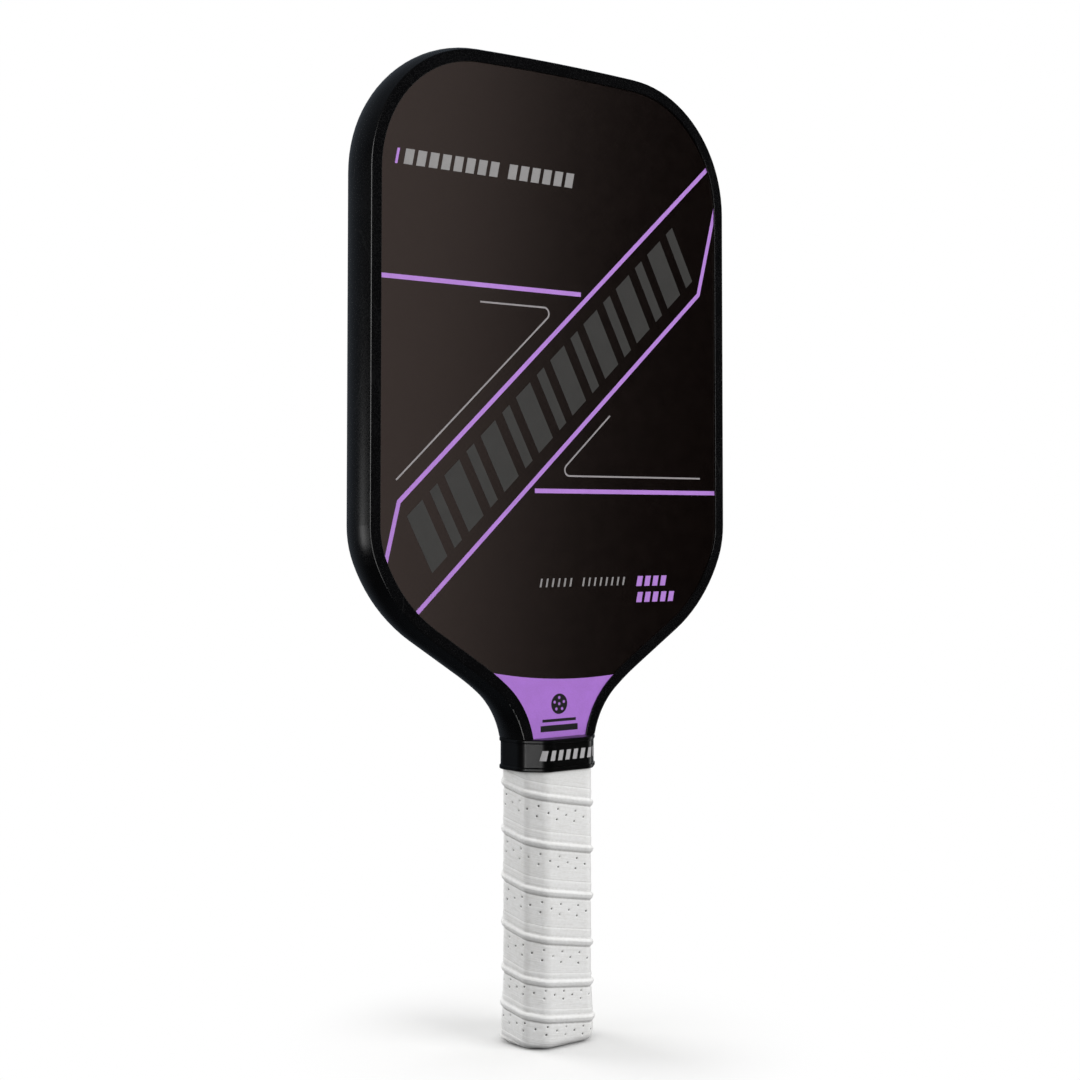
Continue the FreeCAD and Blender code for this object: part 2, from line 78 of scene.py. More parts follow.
class Sheet:
    """Adds nodes to a tree and wires them, in shader and geometry trees alike."""

    def __init__(self, tree):
        self.tree = tree

    def node(self, kind, inputs=(), **settings):
        made = self.tree.nodes.new(kind)
        for name, value in settings.items():
            setattr(made, name, value)
        for key, value in dict(inputs).items():
            self.feed(made.inputs[key], value)
        return made

    def feed(self, socket, value):
        if isinstance(value, bpy.types.NodeSocket):
            self.tree.links.new(value, socket)
        else:
            socket.default_value = value

    def math(self, operation, *values):
        return self.node("ShaderNodeMath", enumerate(values), operation=operation).outputs[0]

    def ramp(self, value, low, high, start=0.0, end=1.0):
        """A smooth step from start to end as value goes from low to high."""
        made = self.node("ShaderNodeMapRange", enumerate((value, low, high, start, end)),
                         interpolation_type="SMOOTHSTEP")
        return made.outputs[0]

    def point(self, x, y, z):
        return self.node("ShaderNodeCombineXYZ", enumerate((x, y, z))).outputs[0]

    def noise(self, vector, scale, detail=2.0):
        made = self.node("ShaderNodeTexNoise", {"Vector": vector, "Scale": scale, "Detail": detail})
        return made.outputs["Fac"]

    def mix(self, factor, first, second):
        made = self.node("ShaderNodeMix", data_type="RGBA")
        for index, value in ((0, factor), (6, first), (7, second)):
            self.feed(made.inputs[index], value)
        return made.outputs[2]

    def bump(self, height, strength, distance):
        made = self.node("ShaderNodeBump", {"Height": height, "Strength": strength, "Distance": distance})
        return made.outputs[0]


def open_group(name, kind, inputs, outputs):
    """A node group with named inputs and outputs, as its sheet, entry sockets and exit sockets."""
    tree = bpy.data.node_groups.new(name, kind)
    for label, socket_type, value in inputs:
        socket = tree.interface.new_socket(name=label, in_out="INPUT", socket_type=socket_type)
        if value is not None:
            socket.default_value = value
    for label, socket_type in outputs:
        tree.interface.new_socket(name=label, in_out="OUTPUT", socket_type=socket_type)
    sheet = Sheet(tree)
    entry = sheet.node("NodeGroupInput").outputs
    leave = sheet.node("NodeGroupOutput").inputs
    return sheet, entry, leave


FLOAT = "NodeSocketFloat"
COLOR = "NodeSocketColor"
VECTOR = "NodeSocketVector"
GEOMETRY = "NodeSocketGeometry"


# ---------- shared effects ----------

def fine_grain_group():
    """Two-colour grain with its own roughness and height."""
    sheet, entry, leave = open_group(
        "fine_grain", "ShaderNodeTree",
        [("Vector", VECTOR, None), ("Scale", FLOAT, 900.0), ("Base", COLOR, (0.5, 0.5, 0.5, 1)),
         ("Fleck", COLOR, (0.4, 0.4, 0.4, 1)), ("Amount", FLOAT, 0.5), ("Roughness", FLOAT, 0.5),
         ("Spread", FLOAT, 0.1)],
        [("Color", COLOR), ("Roughness", FLOAT), ("Height", FLOAT)])
    grain = sheet.noise(entry["Vector"], entry["Scale"], 3.0)
    cloud_scale = sheet.math("MULTIPLY", entry["Scale"], 0.06)
    cloud = sheet.noise(entry["Vector"], cloud_scale, 2.0)
    both = sheet.math("ADD", sheet.math("MULTIPLY", grain, 0.6), sheet.math("MULTIPLY", cloud, 0.4))
    fleck = sheet.math("MULTIPLY", sheet.ramp(both, 0.38, 0.64), entry["Amount"])
    sheet.feed(leave["Color"], sheet.mix(fleck, entry["Base"], entry["Fleck"]))
    swing = sheet.math("MULTIPLY", sheet.math("SUBTRACT", both, 0.5), entry["Spread"])
    sheet.feed(leave["Roughness"], sheet.math("ADD", entry["Roughness"], swing))
    sheet.feed(leave["Height"], grain)
    return sheet.tree


def rub_marks_group():
    """A mask of hairline rubs and scuffs that lie in patches."""
    sheet, entry, leave = open_group(
        "rub_marks", "ShaderNodeTree",
        [("Vector", VECTOR, None), ("Scale", FLOAT, 60.0), ("Amount", FLOAT, 0.5)],
        [("Mask", FLOAT)])
    stretched = sheet.node("ShaderNodeVectorMath", {0: entry["Vector"], 1: (1.0, 1.0, 0.22)},
                           operation="MULTIPLY").outputs[0]
    bent = sheet.node("ShaderNodeTexNoise", {"Vector": stretched, "Scale": entry["Scale"]})
    shifted = sheet.node("ShaderNodeVectorMath", {0: bent.outputs["Color"], 1: (0.012, 0.012, 0.012)},
                         operation="MULTIPLY").outputs[0]
    moved = sheet.node("ShaderNodeVectorMath", {0: stretched, 1: shifted}, operation="ADD").outputs[0]
    cells = sheet.node("ShaderNodeTexVoronoi", {"Vector": moved, "Scale": entry["Scale"]},
                       feature="DISTANCE_TO_EDGE")
    lines = sheet.ramp(cells.outputs["Distance"], 0.0, 0.02, 1.0, 0.0)
    patch_scale = sheet.math("MULTIPLY", entry["Scale"], 0.45)
    patches = sheet.ramp(sheet.noise(entry["Vector"], patch_scale), 0.52, 0.68)
    marks = sheet.math("MULTIPLY", sheet.math("MULTIPLY", lines, patches), entry["Amount"])
    sheet.feed(leave["Mask"], marks)
    return sheet.tree


def cloth_imprint_group():
    """The fine squares that a peel cloth leaves in a laminate, with slow drifts of its threads."""
    sheet, entry, leave = open_group(
        "cloth_imprint", "ShaderNodeTree",
        [("Vector", VECTOR, None), ("Threads", FLOAT, 2200.0)],
        [("Height", FLOAT), ("Mask", FLOAT)])
    axes = sheet.node("ShaderNodeSeparateXYZ", {0: entry["Vector"]}).outputs
    drift = sheet.math("MULTIPLY", sheet.noise(entry["Vector"], 45.0), 2.4)
    across = sheet.math("SINE", sheet.math("ADD", sheet.math("MULTIPLY", axes[0], entry["Threads"]), drift))
    along = sheet.math("SINE", sheet.math("ADD", sheet.math("MULTIPLY", axes[2], entry["Threads"]), drift))
    height = sheet.math("MULTIPLY_ADD", sheet.math("MULTIPLY", across, along), 0.5, 0.5)
    sheet.feed(leave["Height"], height)
    patches = sheet.ramp(sheet.noise(entry["Vector"], 22.0, 4.0), 0.35, 0.7)
    sheet.feed(leave["Mask"], sheet.math("MULTIPLY", patches, height))
    return sheet.tree


STRIP_SIZES = [
    ("Pitch", 19.77 * MM), ("Foot Pitch", 14.8 * MM), ("First Bead", 103.1 * MM), ("Girth", 110.5 * MM),
    ("Hole Radius", 0.42 * MM), ("Holes Round", 11.92), ("Hole Shift", 0.0935), ("Top Row", 0.22),
    ("Row Step", 0.11), ("Row Lean", 0.17),
]
FULL_TURNS = 3.5
HOLE_ROWS = 3
LAP_PLACE = 0.71
LAP_WIDTH = 0.035
CREASE_OFFSET = 1.75 * MM
GROOVE_FADE = 1.1 * MM


def strip_places(sheet, around, height, sizes):
    """Where a point lies on the wound strip: its fraction of a turn below the bead, its distance in metres
    from the nearest bead and from the nearest hole, and whether it is below the first bead. The pitch is
    shorter after the full turns."""
    full = sheet.math("DIVIDE", sheet.math("SUBTRACT", sizes["First Bead"], height), sizes["Pitch"])
    knee = sheet.math("SUBTRACT", sizes["First Bead"], sheet.math("MULTIPLY", sizes["Pitch"], FULL_TURNS))
    foot = sheet.math("DIVIDE", sheet.math("SUBTRACT", knee, height), sizes["Foot Pitch"])
    turns = sheet.math("SUBTRACT", sheet.math("MAXIMUM", full, sheet.math("ADD", foot, FULL_TURNS)), around)
    below_knee = sheet.math("LESS_THAN", height, knee)
    shorter = sheet.math("SUBTRACT", sizes["Foot Pitch"], sizes["Pitch"])
    pitch = sheet.math("MULTIPLY_ADD", shorter, below_knee, sizes["Pitch"])
    part = sheet.math("FRACT", turns)
    nearest = sheet.math("SUBTRACT", sheet.math("FRACT", sheet.math("ADD", turns, 0.5)), 0.5)
    from_bead = sheet.math("MULTIPLY", nearest, pitch)
    steps = sheet.math("DIVIDE", sheet.math("SUBTRACT", part, sizes["Top Row"]), sizes["Row Step"])
    row = sheet.math("MINIMUM", sheet.math("MAXIMUM", sheet.math("ROUND", steps), 0.0), HOLE_ROWS - 1)
    off_row = sheet.math("MULTIPLY", sheet.math("SUBTRACT", steps, row), sizes["Row Step"])
    down = sheet.math("MULTIPLY", off_row, pitch)
    spacing = sheet.math("DIVIDE", sizes["Girth"], sizes["Holes Round"])
    fall = sheet.math("MULTIPLY", sheet.math("SUBTRACT", part, sizes["Top Row"]), pitch)
    lean = sheet.math("DIVIDE", sheet.math("MULTIPLY", fall, sizes["Row Lean"]), spacing)
    shift = sheet.math("ADD", lean, sizes["Hole Shift"])
    stagger = sheet.math("MULTIPLY_ADD", sheet.math("MODULO", row, 2.0), 0.5, shift)
    run = sheet.math("ADD", sheet.math("FLOOR", turns), around)
    column = sheet.math("FRACT", sheet.math("MULTIPLY_ADD", run, sizes["Holes Round"], stagger))
    sideways = sheet.math("MULTIPLY", sheet.math("SUBTRACT", column, 0.5), spacing)
    down_squared = sheet.math("MULTIPLY", down, down)
    sideways_squared = sheet.math("MULTIPLY", sideways, sideways)
    from_hole = sheet.math("SQRT", sheet.math("ADD", down_squared, sideways_squared))
    behind = sheet.math("GREATER_THAN", around, 0.5)
    started = sheet.math("GREATER_THAN", sheet.math("ADD", turns, behind), 0.0)
    return part, from_bead, from_hole, started


def hole_mask(sheet, from_hole, started, radius):
    """One in the middle of a hole and nothing past its rim, on the wound part of the strip only."""
    floor_edge = sheet.math("MULTIPLY", radius, 0.62)
    rim = sheet.math("MULTIPLY", radius, 1.15)
    inside = sheet.ramp(from_hole, floor_edge, rim, 1.0, 0.0)
    return sheet.math("MULTIPLY", inside, started)


def strip_grain(sheet, around, height, part, along, across):
    """Noise stretched along the strip, with no break where the winding closes on itself."""
    angle = sheet.math("MULTIPLY", around, 2 * math.pi)
    x = sheet.math("MULTIPLY_ADD", sheet.math("COSINE", angle), along, sheet.math("MULTIPLY", height, 40.0))
    y = sheet.math("MULTIPLY", sheet.math("SINE", angle), along)
    z = sheet.math("MULTIPLY", part, across)
    return sheet.noise(sheet.point(x, y, z), 1.0, 3.0)


def wound_strip_group():
    """Masks of the strip's holes and creases, where the wrap's finish paints shade, and of its wrinkles,
    read from the winding's own map.
    """
    sheet, entry, leave = open_group(
        "wound_strip", "ShaderNodeTree",
        [("Place", VECTOR, None)] + [(label, FLOAT, value) for label, value in STRIP_SIZES],
        [("Hole", FLOAT), ("Crease", FLOAT), ("Wrinkle", FLOAT)])
    place = sheet.node("ShaderNodeSeparateXYZ", {0: entry["Place"]}).outputs
    part, from_bead, from_hole, started = strip_places(sheet, place[0], place[1], entry)
    # The hole mask tells the wrap's finish where to paint shade inside the perforations.
    sheet.feed(leave["Hole"], hole_mask(sheet, from_hole, started, entry["Hole Radius"]))
    # Painted shade: a dark line is painted in the crease below each bead, a fainter one above it, and one
    # along the lap.
    below = sheet.math("ABSOLUTE", sheet.math("SUBTRACT", from_bead, CREASE_OFFSET))
    above = sheet.math("ABSOLUTE", sheet.math("ADD", from_bead, CREASE_OFFSET))
    from_lap = sheet.math("MULTIPLY", sheet.math("SUBTRACT", part, LAP_PLACE), entry["Pitch"])
    lap = sheet.math("ABSOLUTE", from_lap)
    lower_line = sheet.ramp(below, 0.0, 0.55 * MM, 1.0, 0.0)
    upper_line = sheet.ramp(above, 0.0, 0.5 * MM, 0.45, 0.0)
    lap_line = sheet.ramp(lap, 0.0, 0.3 * MM, 0.75, 0.0)
    creases = sheet.math("MAXIMUM", sheet.math("MAXIMUM", lower_line, upper_line), lap_line)
    sheet.feed(leave["Crease"], creases)
    sheet.feed(leave["Wrinkle"], strip_grain(sheet, place[0], place[1], part, along=2.6, across=34.0))
    return sheet.tree


def make_effects():
    """Makes the shader groups that several finishes share."""
    for name, maker in (("fine_grain", fine_grain_group), ("rub_marks", rub_marks_group),
                        ("cloth_imprint", cloth_imprint_group), ("wound_strip", wound_strip_group)):
        if name not in bpy.data.node_groups:
            maker()


# ---------- finishes ----------

def start_material(name):
    made = bpy.data.materials.new(name)
    made.use_nodes = True
    sheet = Sheet(made.node_tree)
    shader = made.node_tree.nodes["Principled BSDF"]
    place = sheet.node("ShaderNodeTexCoord").outputs["Object"]
    return made, sheet, shader, place


def effect(sheet, name, **inputs):
    group = sheet.node("ShaderNodeGroup", node_tree=bpy.data.node_groups[name])
    for label, value in inputs.items():
        sheet.feed(group.inputs[label.replace("_", " ")], value)
    return group.outputs


def opaque(color):
    return (*color[:3], 1.0)


def grained(name, base, fleck, amount=0.5, roughness=0.5, spread=0.2, scale=900.0, bump=0.2, depth=0.05,
            rubs=0.0, constants=()):
    """A finish with two-colour grain, uneven gloss, a fine texture and, if rubs is set, hairline scuffs."""
    made, sheet, shader, place = start_material(name)
    grain = effect(sheet, "fine_grain", Vector=place, Scale=scale, Base=opaque(base), Fleck=opaque(fleck),
                   Amount=amount, Roughness=roughness, Spread=spread)
    color = grain["Color"]
    gloss = grain["Roughness"]
    if rubs:
        mask = effect(sheet, "rub_marks", Vector=place, Amount=rubs)["Mask"]
        light = tuple(min(1.0, channel * 1.6 + 0.02) for channel in base)
        color = sheet.mix(mask, color, opaque(light))
        gloss = sheet.math("MULTIPLY_ADD", mask, 0.25, gloss)
    sheet.feed(shader.inputs["Base Color"], color)
    sheet.feed(shader.inputs["Roughness"], gloss)
    sheet.feed(shader.inputs["Normal"], sheet.bump(grain["Height"], bump, depth * MM))
    for label, value in dict(constants).items():
        shader.inputs[label].default_value = value
    return made


def carbon_finish(settings):
    made, sheet, shader, place = start_material("carbon_sheet_finish")
    imprint = effect(sheet, "cloth_imprint", Vector=place)
    grain = effect(sheet, "fine_grain", Vector=place, Scale=2600.0, Base=opaque(settings.sheet_color),
                   Fleck=opaque(settings.sheet_fleck), Amount=0.8, Roughness=0.20, Spread=0.10)
    imprint_share = sheet.math("MULTIPLY", imprint["Mask"], 0.5)
    color = sheet.mix(imprint_share, grain["Color"], opaque(settings.sheet_fleck))
    sheet.feed(shader.inputs["Base Color"], color)
    sheet.feed(shader.inputs["Roughness"], grain["Roughness"])
    height = sheet.math("MULTIPLY_ADD", imprint["Height"], 0.35, grain["Height"])
    sheet.feed(shader.inputs["Normal"], sheet.bump(height, 0.22, 0.05 * MM))
    shader.inputs["Specular Tint"].default_value = (1.0, 0.76, 0.68, 1.0)
    return made


# The wrap's finish paints shade into its creases and its perforations.
def wrap_finish(settings, hole_radius):
    made, sheet, shader, place = start_material("grip_wrap_finish")
    winding = sheet.node("ShaderNodeUVMap", uv_map="strip").outputs[0]
    strip = effect(sheet, "wound_strip", Place=winding, Hole_Radius=hole_radius)
    grain = effect(sheet, "fine_grain", Vector=place, Scale=700.0, Base=opaque(settings.wrap_color),
                   Fleck=opaque(settings.wrap_fleck), Amount=0.35, Roughness=0.62, Spread=0.25)
    wrinkled = sheet.mix(sheet.ramp(strip["Wrinkle"], 0.52, 0.72, 0.0, 0.3), grain["Color"],
                         opaque(settings.wrap_fleck))
    # Painted shade: the creases along each bead and the lap are darkened with the crease colour.
    crease_share = sheet.math("MULTIPLY", strip["Crease"], 0.42)
    creased = sheet.mix(crease_share, wrinkled, opaque(settings.crease_color))
    # Painted shade: each perforation is darkened with the perforation colour, more in some holes than in
    # others.
    worn = sheet.ramp(sheet.noise(place, 95.0), 0.38, 0.62, 0.45, 1.0)
    color = sheet.mix(sheet.math("MULTIPLY", strip["Hole"], worn), creased, opaque(settings.hole_color))
    sheet.feed(shader.inputs["Base Color"], color)
    sheet.feed(shader.inputs["Roughness"], grain["Roughness"])
    height = sheet.math("MULTIPLY_ADD", strip["Wrinkle"], 1.8, sheet.math("MULTIPLY", grain["Height"], 0.15))
    sheet.feed(shader.inputs["Normal"], sheet.bump(height, 0.45, 0.12 * MM))
    shader.inputs["Sheen Weight"].default_value = 0.08
    return made


def dress(material, *names):
    """Gives CAD nodes their finish."""
    for name in names:
        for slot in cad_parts[name].material_slots:
            slot.material = material


def both_faces(*layers):
    return [f"{side}_{layer}" for layer in layers for side in ("front", "back")]


# ---------- wound grip ----------

def octagon_ring(columns):
    """Points and outward directions at equal steps round the handle's blended octagon, in millimetres, from
    the front's middle towards the right."""
    setback = GRIP_CORNER * math.tan(math.radians(22.5))
    front = GRIP_WIDTH / 2 - GRIP_CHAMFER - setback
    side = GRIP_DEPTH - 2 * GRIP_CHAMFER - 2 * setback
    slant = GRIP_CHAMFER * math.sqrt(2) - 2 * setback
    bend = GRIP_CORNER * math.radians(45)
    runs = [(front, 0)]
    for straight in (side, 2 * front, side, front):
        runs += [(bend, 45), (slant, 0), (bend, 45), (straight, 0)]
    girth = sum(length for length, _ in runs)
    ring = []
    start = 0.0
    heading = 0.0
    x, y = 0.0, -GRIP_DEPTH / 2
    for length, turn in runs:
        while len(ring) < columns and len(ring) * girth / columns < start + length:
            reach = len(ring) * girth / columns - start
            if turn:
                swing = reach / GRIP_CORNER
                here = heading + swing
                step = (GRIP_CORNER * (math.sin(here) - math.sin(heading)),
                        GRIP_CORNER * (math.cos(heading) - math.cos(here)))
            else:
                here = heading
                step = (reach * math.cos(heading), reach * math.sin(heading))
            ring.append((x + step[0], y + step[1], math.sin(here), -math.cos(here)))
        if turn:
            after = heading + math.radians(turn)
            x += GRIP_CORNER * (math.sin(after) - math.sin(heading))
            y += GRIP_CORNER * (math.cos(heading) - math.cos(after))
            heading = after
        else:
            x += length * math.cos(heading)
            y += length * math.sin(heading)
        start += length
    return ring


def flare_at(height):
    """How far the handle's foot spreads beyond the octagon, in millimetres."""
    if height >= FLARE_TOP:
        return 0.0
    return FLARE * min(1.0, (FLARE_TOP - height) / (FLARE_TOP - FLARE_BOTTOM))


def wrap_profile():
    """The wrap's closed upright section, in rows of step out from the octagon, height, share of relief."""
    arc_top = WRAP_BOTTOM + WRAP_EDGE_RADIUS
    rows = []
    for k in range(WRAP_ROWS + 1):
        height = WRAP_TOP + (arc_top - WRAP_TOP) * k / WRAP_ROWS
        share = min(1.0, max(0.0, RELIEF_TOP - height))
        rows.append((flare_at(height), height, share))
    for k in range(1, ARC_ROWS + 1):
        turn = math.radians(90 * k / ARC_ROWS)
        step = FLARE - WRAP_EDGE_RADIUS * (1 - math.cos(turn))
        rows.append((step, arc_top - WRAP_EDGE_RADIUS * math.sin(turn), math.cos(turn)))
    wide = SHELL_STEP + FLARE + INNER_GAP
    for height in CAP_ARC_HEIGHTS:
        below = CAP_EDGE_RADIUS - height
        rows.append((wide - CAP_EDGE_RADIUS + math.sqrt(CAP_EDGE_RADIUS ** 2 - below ** 2), height, 0.0))
    shell = SHELL_STEP + INNER_GAP
    bore = SHELL_STEP + TAPE_THICKNESS + INNER_GAP
    for step, height in ((wide, FLARE_BOTTOM), (shell, CAP_TOP), (shell, TAPE_BOTTOM), (bore, TAPE_BOTTOM),
                         (bore, BORE_MIDDLE), (bore, WRAP_TOP)):
        rows.append((step, height, 0.0))
    return rows


def bare_wrap():
    """The wrap without its relief: a closed sleeve that carries the winding's map and the way outwards."""
    ring = octagon_ring(WRAP_COLUMNS)
    rows = wrap_profile()
    points = [((x + out_x * step) * MM, (y + out_y * step) * MM, height * MM)
              for step, height, _ in rows for x, y, out_x, out_y in ring]
    faces = []
    places = []
    count = len(rows)
    for j in range(count):
        below = (j + 1) % count
        for i in range(WRAP_COLUMNS):
            after = (i + 1) % WRAP_COLUMNS
            faces.append((j * WRAP_COLUMNS + i, below * WRAP_COLUMNS + i,
                          below * WRAP_COLUMNS + after, j * WRAP_COLUMNS + after))
            left, right = i / WRAP_COLUMNS, (i + 1) / WRAP_COLUMNS
            upper, lower = rows[j][1] * MM, rows[below][1] * MM
            places += [left, upper, left, lower, right, lower, right, upper]
    mesh = bpy.data.meshes.new("grip_wrap_sleeve")
    mesh.from_pydata(points, [], faces)
    mesh.uv_layers.new(name="strip").data.foreach_set("uv", places)
    around = mesh.attributes.new("around", "FLOAT", "POINT")
    around.data.foreach_set("value", [i / WRAP_COLUMNS for _ in rows for i in range(WRAP_COLUMNS)])
    share = mesh.attributes.new("share", "FLOAT", "POINT")
    share.data.foreach_set("value", [row[2] for row in rows for _ in range(WRAP_COLUMNS)])
    outwards = mesh.attributes.new("outwards", "FLOAT_VECTOR", "POINT")
    ways = [value for _, _, out_x, out_y in ring for value in (out_x, out_y, 0.0)]
    outwards.data.foreach_set("vector", ways * count)
    return mesh


WRAP_RELIEF = [
    ("Bead Half Height", 1.65 * MM), ("Bead Proud", 0.95 * MM), ("Groove Depth", 0.28 * MM),
    ("Lap Place", LAP_PLACE), ("Lap Step", 0.22 * MM), ("Hole Depth", 0.7 * MM),
    ("Wrinkle Depth", 0.16 * MM), ("Swell", 0.16 * MM),
]


def winding_tree():
    """Geometry nodes that raise the strip's bead and laps and sink its perforations."""
    sheet, entry, leave = open_group(
        "grip_winding", "GeometryNodeTree",
        [("Geometry", GEOMETRY, None), ("Finish", "NodeSocketMaterial", None)]
        + [(label, FLOAT, value) for label, value in STRIP_SIZES + WRAP_RELIEF],
        [("Geometry", GEOMETRY)])

    def attribute(name, kind):
        made = sheet.node("GeometryNodeInputNamedAttribute", data_type=kind)
        made.inputs["Name"].default_value = name
        return made.outputs["Attribute"]

    around = attribute("around", "FLOAT")
    position = sheet.node("GeometryNodeInputPosition").outputs[0]
    height = sheet.node("ShaderNodeSeparateXYZ", {0: position}).outputs[2]
    part, from_bead, from_hole, started = strip_places(sheet, around, height, entry)
    reach = sheet.math("DIVIDE", from_bead, entry["Bead Half Height"])
    dome = sheet.math("SUBTRACT", 1.0, sheet.math("MULTIPLY", reach, reach))
    bead = sheet.math("MULTIPLY", sheet.math("SQRT", sheet.math("MAXIMUM", dome, 0.0)), entry["Bead Proud"])
    past = sheet.math("SUBTRACT", sheet.math("ABSOLUTE", from_bead), entry["Bead Half Height"])
    beside = sheet.ramp(sheet.math("ABSOLUTE", past), 0.0, GROOVE_FADE, 1.0, 0.0)
    groove = sheet.math("MULTIPLY", beside, entry["Groove Depth"])
    lap_end = sheet.math("ADD", entry["Lap Place"], LAP_WIDTH)
    lap = sheet.math("MULTIPLY", sheet.ramp(part, entry["Lap Place"], lap_end), entry["Lap Step"])
    inside = hole_mask(sheet, from_hole, started, entry["Hole Radius"])
    hole = sheet.math("MULTIPLY", inside, entry["Hole Depth"])
    grain = strip_grain(sheet, around, height, part, along=1.3, across=9.0)
    creasing = sheet.math("MULTIPLY", sheet.math("SUBTRACT", grain, 0.5), entry["Wrinkle Depth"])
    belly = sheet.math("MULTIPLY", sheet.math("SINE", sheet.math("MULTIPLY", part, math.pi)), entry["Swell"])
    raised = sheet.math("ADD", sheet.math("ADD", bead, lap), sheet.math("ADD", creasing, belly))
    sunk = sheet.math("ADD", groove, hole)
    relief = sheet.math("MULTIPLY", sheet.math("SUBTRACT", raised, sunk), attribute("share", "FLOAT"))
    offset = sheet.node("ShaderNodeVectorMath", {0: attribute("outwards", "FLOAT_VECTOR"), "Scale": relief},
                        operation="SCALE").outputs[0]
    moved = sheet.node("GeometryNodeSetPosition", {"Geometry": entry["Geometry"], "Offset": offset})
    smooth = sheet.node("GeometryNodeSetShadeSmooth", {"Geometry": moved.outputs[0]})
    real = sheet.node("GeometryNodeRealizeInstances", {"Geometry": smooth.outputs[0]})
    finished = sheet.node("GeometryNodeSetMaterial",
                          {"Geometry": real.outputs[0], "Material": entry["Finish"]})
    sheet.feed(leave["Geometry"], finished.outputs[0])
    return sheet.tree


def settle(name, mesh, tree, inputs):
    """A piece whose mesh is what the tree makes of the mesh given, with no modifier left on it."""
    piece = bpy.data.objects.new(name, mesh)
    bpy.context.scene.collection.objects.link(piece)
    modifier = piece.modifiers.new("maker", "NODES")
    modifier.node_group = tree
    for item in tree.interface.items_tree:
        if item.in_out == "INPUT" and item.name in inputs:
            modifier[item.identifier] = inputs[item.name]
    bpy.context.view_layer.update()
    evaluated = piece.evaluated_get(bpy.context.evaluated_depsgraph_get())
    final = bpy.data.meshes.new_from_object(evaluated)
    piece.modifiers.remove(modifier)
    piece.data = final
    final.name = name
    bpy.data.meshes.remove(mesh)
    return piece


# ---------- settings ----------

def color_setting(label, text, value):
    return bpy.props.FloatVectorProperty(name=label, description=text, default=value, size=3, min=0.0,
                                         max=1.0, subtype="COLOR")


def length_setting(label, text, value):
    return bpy.props.FloatProperty(name=label, description=text, default=value, subtype="DISTANCE",
                                   unit="LENGTH", precision=5)


class PaddleFinishSettings(bpy.types.PropertyGroup):
    """Colours of the paddle's finishes."""
    sheet_color: color_setting("Face sheet", "Colour of the carbon face sheets", (0.0014, 0.0006, 0.0005))
    sheet_fleck: color_setting("Face sheet fleck", "Colour of the grit in the face sheets",
                               (0.0028, 0.0015, 0.0012))
    guard_color: color_setting("Edge guard", "Colour of the edge guard", (0.0024, 0.0024, 0.0027))
    collar_color: color_setting("Collar", "Colour of the rubber collar", (0.0022, 0.0022, 0.0022))
    violet: color_setting("Violet ink", "Colour of the stripes", (0.50, 0.235, 0.74))
    film_violet: color_setting("Throat film", "Colour of the violet film on the throat", (0.45, 0.19, 0.71))
    silver: color_setting("Silver ink", "Colour of the thin lines", (0.33, 0.31, 0.32))
    block_grey: color_setting("Block ink", "Colour of the slanted blocks", (0.033, 0.032, 0.030))
    dash_grey: color_setting("Dash ink", "Colour of the rows of dashes", (0.30, 0.29, 0.29))
    wrap_color: color_setting("Grip wrap", "Colour of the grip wrap", (0.91, 0.91, 0.905))
    wrap_fleck: color_setting("Grip wrap shade", "Colour of the wrap's slight soiling", (0.74, 0.73, 0.70))
    # Painted shade: the dark colour painted into the wrap's creases.
    crease_color: color_setting("Grip crease", "Colour deep in the wrap's creases", (0.26, 0.25, 0.24))
    # Painted shade: the dark colour painted inside each perforation.
    hole_color: color_setting("Perforation", "Colour inside the wrap's perforations", (0.060, 0.057, 0.054))


class PaddleWrapSettings(bpy.types.PropertyGroup):
    """Sizes of the wound grip."""
    bead_proud: length_setting("Bead height", "How far the bead stands above the wrap", 0.95 * MM)
    hole_radius: length_setting("Perforation radius", "Radius of one perforation", 0.42 * MM)
    hole_depth: length_setting("Perforation depth", "Depth of one perforation", 0.7 * MM)
    wrinkle_depth: length_setting("Wrinkles", "Depth of the wrinkles along the strip", 0.16 * MM)


class PaddleStageSettings(bpy.types.PropertyGroup):
    """Camera and light of the studio."""
    lens: bpy.props.FloatProperty(name="Lens", description="Focal length in millimetres", default=61.1,
                                  min=1.0)
    view_turn: bpy.props.FloatProperty(
        name="View turn", description="How far the camera stands round to the left",
        default=math.radians(38.18), subtype="ANGLE", unit="ROTATION")
    view_distance: length_setting("View distance", "Distance from the camera to the paddle's axis", 0.778)
    view_height: length_setting("View height", "Height of the camera above the floor", 0.2185)
    floor_color: color_setting("Floor", "Colour of the floor", (0.86, 0.86, 0.855))


def finish_settings():
    return bpy.context.scene.paddle_finish


# ---------- stage ----------

